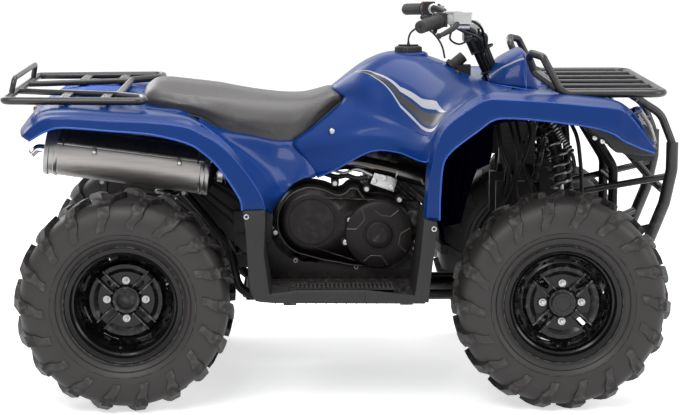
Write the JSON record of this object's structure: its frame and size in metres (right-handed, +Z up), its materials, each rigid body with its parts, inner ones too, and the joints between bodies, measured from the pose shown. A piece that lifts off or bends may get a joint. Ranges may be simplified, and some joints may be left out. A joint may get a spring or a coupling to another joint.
{
  "type": "quad bike",
  "caption": "Utility quad bike with knobbly tyres, blue plastic bodywork, long seat, tube racks front and rear, tube bumper, side silencer and turning handlebar",
  "frame": {"origin": "on the ground, on the centre plane, half way along the length", "axes": "+X forward, +Y to the rider's left, +Z up"},
  "size_m": [1.964, 1.08, 1.1155],
  "materials": {
    "blue_plastic": "deep blue, glossy",
    "inner_plastic": "dark blue, satin",
    "black_plastic": "grained black",
    "frame_paint": "satin black",
    "rack_paint": "dark bronze-grey, satin",
    "rim_paint": "satin black",
    "tyre": "charcoal",
    "engine_alloy": "cast, part black",
    "steel": "brushed",
    "shield": "heat-proof black",
    "spring": "silver",
    "vinyl": "charcoal vinyl over foam",
    "soft_rubber": "matte",
    "lens": "smoked clear",
    "red_lens": "red"
  },
  "bodies": {
    "chassis": {"frame_sides": "frame_paint", "frame_crosses": "frame_paint", "swingarm": "frame_paint", "upper_arms": "frame_paint", "lower_arms": "frame_paint", "front_shocks": "spring", "rear_shock": "spring", "rear_rack": "rack_paint", "front_rack": "rack_paint", "front_bumper": "rack_paint", "engine": "engine_alloy", "belt_cover": "black_plastic", "clutch_cover": "black_plastic", "exhaust_pipe": "steel", "silencer": "steel", "heat_shield": "shield", "rear_fender": "blue_plastic", "front_fender": "blue_plastic", "tank_cover": "blue_plastic", "side_panels": "blue_plastic", "fuel_cap": "black_plastic", "seat": "vinyl", "instrument_cowl": "blue_plastic", "headlamps": "lens", "tail_lamp": "red_lens", "front_panel": "black_plastic", "footwells": "black_plastic", "footpegs": "frame_paint", "front_mudguards": "inner_plastic", "skid_plate": "black_plastic", "hitch_plate": "frame_paint"},
    "steering": {"steering_column": "frame_paint", "handlebar": "frame_paint", "grips": "soft_rubber", "hand_controls": "black_plastic", "control_cables": "soft_rubber"},
    "knuckle_left": {"knuckle_left": "frame_paint"},
    "knuckle_right": {"knuckle_right": "frame_paint"},
    "tie_rod_left": {"tie_rod_left": "steel"},
    "tie_rod_right": {"tie_rod_right": "steel"},
    "front_wheel_left": {"front_rim_left": "rim_paint", "front_tyre_left": "tyre"},
    "front_wheel_right": {"front_rim_right": "rim_paint", "front_tyre_right": "tyre"},
    "rear_wheels": {"rear_axle": "steel", "rear_rims": "rim_paint", "rear_tyres": "tyre"}
  },
  "joints": [
    {"name": "steering", "type": "hinge", "parent": "chassis", "child": "steering", "pos_m": [0.375, 0, 1.03], "axis": [-0.4226, 0, 0.9063], "range_deg": [-35, 35]},
    {"name": "knuckle_left_turn", "type": "hinge", "parent": "chassis", "child": "knuckle_left", "pos_m": [0.603, 0.375, 0.31], "axis": [0, 0, 1], "range_deg": [-28, 28]},
    {"name": "tie_rod_left_turn", "type": "hinge", "parent": "steering", "child": "tie_rod_left", "pos_m": [0.60028, 0.026, 0.37415], "axis": [-0.4226, 0, 0.9063], "range_deg": [-35, 35]},
    {"name": "front_wheel_left_spin", "type": "hinge", "parent": "knuckle_left", "child": "front_wheel_left", "pos_m": [0.603, 0.4375, 0.31], "axis": [0, 1, 0], "continuous": true},
    {"name": "knuckle_right_turn", "type": "hinge", "parent": "chassis", "child": "knuckle_right", "pos_m": [0.603, -0.375, 0.31], "axis": [0, 0, 1], "range_deg": [-28, 28]},
    {"name": "tie_rod_right_turn", "type": "hinge", "parent": "steering", "child": "tie_rod_right", "pos_m": [0.60028, -0.026, 0.37415], "axis": [-0.4226, 0, 0.9063], "range_deg": [-35, 35]},
    {"name": "front_wheel_right_spin", "type": "hinge", "parent": "knuckle_right", "child": "front_wheel_right", "pos_m": [0.603, -0.4375, 0.31], "axis": [0, 1, 0], "continuous": true},
    {"name": "rear_wheels_spin", "type": "hinge", "parent": "chassis", "child": "rear_wheels", "pos_m": [-0.63, 0, 0.31], "axis": [0, 1, 0], "continuous": true}
  ],
  "couplings": [
    {"joint": "knuckle_left_turn", "follows": "steering", "ratio": 0.8},
    {"joint": "knuckle_right_turn", "follows": "steering", "ratio": 0.8},
    {"joint": "tie_rod_left_turn", "follows": "steering", "ratio": -1},
    {"joint": "tie_rod_right_turn", "follows": "steering", "ratio": -1}
  ]
}
